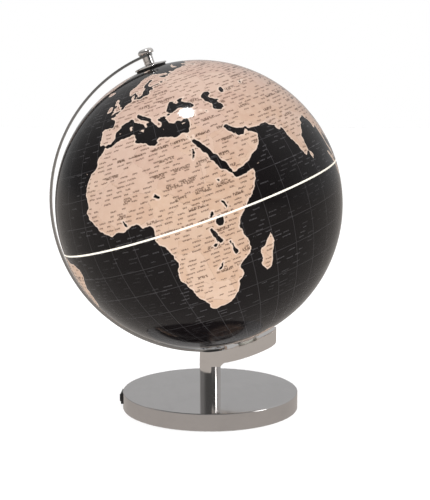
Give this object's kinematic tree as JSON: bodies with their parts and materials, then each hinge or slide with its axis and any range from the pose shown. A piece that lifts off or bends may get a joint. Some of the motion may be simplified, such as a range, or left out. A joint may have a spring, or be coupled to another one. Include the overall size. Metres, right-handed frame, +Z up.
{
  "type": "desktop globe on stand",
  "caption": "Lit desktop globe with black seas and cream land, turning in a chromed C-shaped meridian on an offset arm, a short column and a round weighted base.",
  "frame": {"origin": "centre of the base's underside, on the table", "axes": "+Z up; the arm points along +X; the polar axis lies in the XZ plane and leans 19.2 degrees towards -X at its north end; -Y is the front"},
  "size_m": [0.2555, 0.251, 0.3182],
  "materials": {
    "chrome_base": "mirror polished, cool warm-grey reflection",
    "chrome": "mirror polished casting",
    "chrome_strip": "polished strip",
    "cast_iron": "raw casting with a thin paint",
    "zinc_plated": "zinc plated",
    "screw_steel": "bright zinc",
    "brass": "turned",
    "aluminium": "pressed and anodised",
    "pad_rubber": "fine foam grain",
    "black_rubber": "moulded, satin",
    "black_plastic": "moulded, half gloss",
    "nylon": "natural nylon",
    "opal_plastic": "frosted opal",
    "circuit_board": "white solder resist",
    "led_yellow": "phosphor",
    "lead_sheath": "soft sheath",
    "globe_map": "printed map, black seas and cream land, under clear lacquer",
    "seam_band": "translucent cream"
  },
  "bodies": {
    "stand": {"base_shell": "chrome_base", "base_weight": "cast_iron", "bottom_cover": "zinc_plated", "bottom_cover_screws": "screw_steel", "base_pad": "pad_rubber", "support_arm": "chrome", "arm_cover": "chrome", "arm_cover_screws": "screw_steel", "column_stud": "zinc_plated", "column_washer": "screw_steel", "column_nut": "screw_steel", "meridian_strip": "chrome_strip", "strip_screws": "screw_steel", "pivot_pin": "screw_steel", "north_spacer": "chrome", "north_knob": "chrome", "lamp_tube": "zinc_plated", "lamp_tube_nut": "brass", "thrust_washer": "nylon", "retaining_clip": "screw_steel", "led_heat_sink": "aluminium", "led_board": "circuit_board", "led_chips": "led_yellow", "led_diffuser": "opal_plastic", "switch_frame": "black_plastic", "switch_pin": "screw_steel", "switch_terminals": "brass", "inlet_housing": "black_plastic", "inlet_pin": "brass", "inlet_nut": "brass", "inlet_terminals": "brass", "inlet_lead": "lead_sheath", "lamp_lead": "lead_sheath"},
    "globe": {"north_hemisphere": "globe_map", "south_hemisphere": "globe_map", "equator_band": "seam_band", "north_flange": "chrome", "north_seat_ring": "black_rubber", "north_ring_nut": "nylon", "north_bush": "nylon", "south_flange": "chrome", "south_seat_ring": "black_rubber", "south_ring_nut": "nylon", "south_bush": "nylon"},
    "rocker": {"switch_rocker": "black_plastic"}
  },
  "joints": [
    {"name": "globe_spin", "type": "hinge", "parent": "stand", "child": "globe", "pos_m": [-0.0097, 0, 0.1825], "axis": [-0.3289, 0, 0.9444], "continuous": true},
    {"name": "rocker_tilt", "type": "hinge", "parent": "stand", "child": "rocker", "pos_m": [-0.07692, 0.00945, 0.0082], "axis": [0, 0, 1], "range_deg": [0, 18]}
  ]
}
